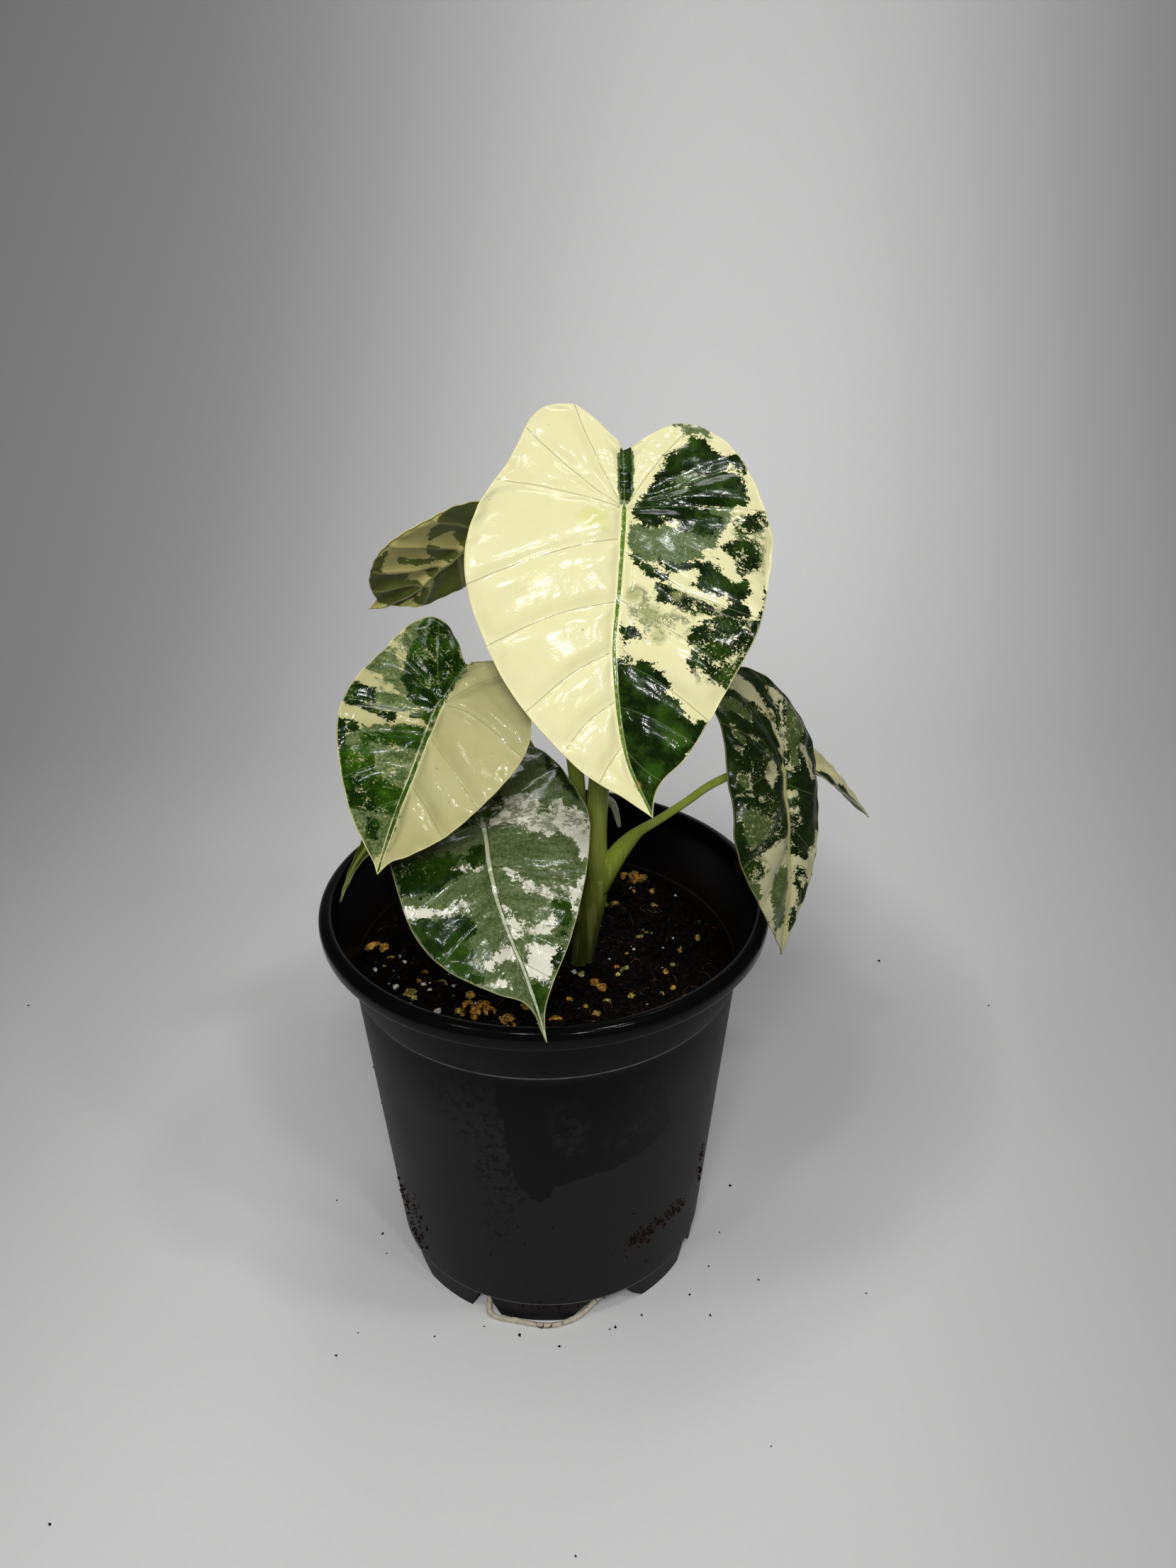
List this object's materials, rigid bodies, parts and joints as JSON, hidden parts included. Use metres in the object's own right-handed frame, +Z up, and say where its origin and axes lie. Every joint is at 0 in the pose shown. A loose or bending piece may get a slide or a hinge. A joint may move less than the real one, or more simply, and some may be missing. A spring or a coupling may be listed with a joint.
{
  "type": "potted variegated frydek alocasia",
  "caption": "Young variegated alocasia with heart-shaped cream and green leaves on arching petioles, standing in a black plastic nursery pot of potting mix.",
  "frame": {"origin": "on the surface that the pot stands on, under the middle of the whole plant's box; the pot's own axis is 24.6 mm to -X and 2.6 mm to +Y of it", "axes": "+Z up along the pot's axis, +X to the right and -Y towards the viewer of the picture"},
  "size_m": [0.2143, 0.1703, 0.3305],
  "materials": {
    "pot_plastic": "satin black, with a scuffed and dusty wall",
    "potting_mix": "damp, coarse and matte, with pumice and perlite",
    "petiole": "smooth satin green",
    "blade": "cream, grey-green and dark green patches, glossy above and matte below",
    "root": "dry, pale and matte"
  },
  "bodies": {
    "root": {"pot": "pot_plastic", "potting_mix": "potting_mix", "stem": "petiole", "leaf_top": "blade", "leaf_left": "blade", "leaf_front": "blade", "leaf_right": "blade", "leaf_back": "blade", "leaf_behind_right": "blade", "leaf_low_left": "blade", "drain_root": "root"}
  },
  "joints": []
}
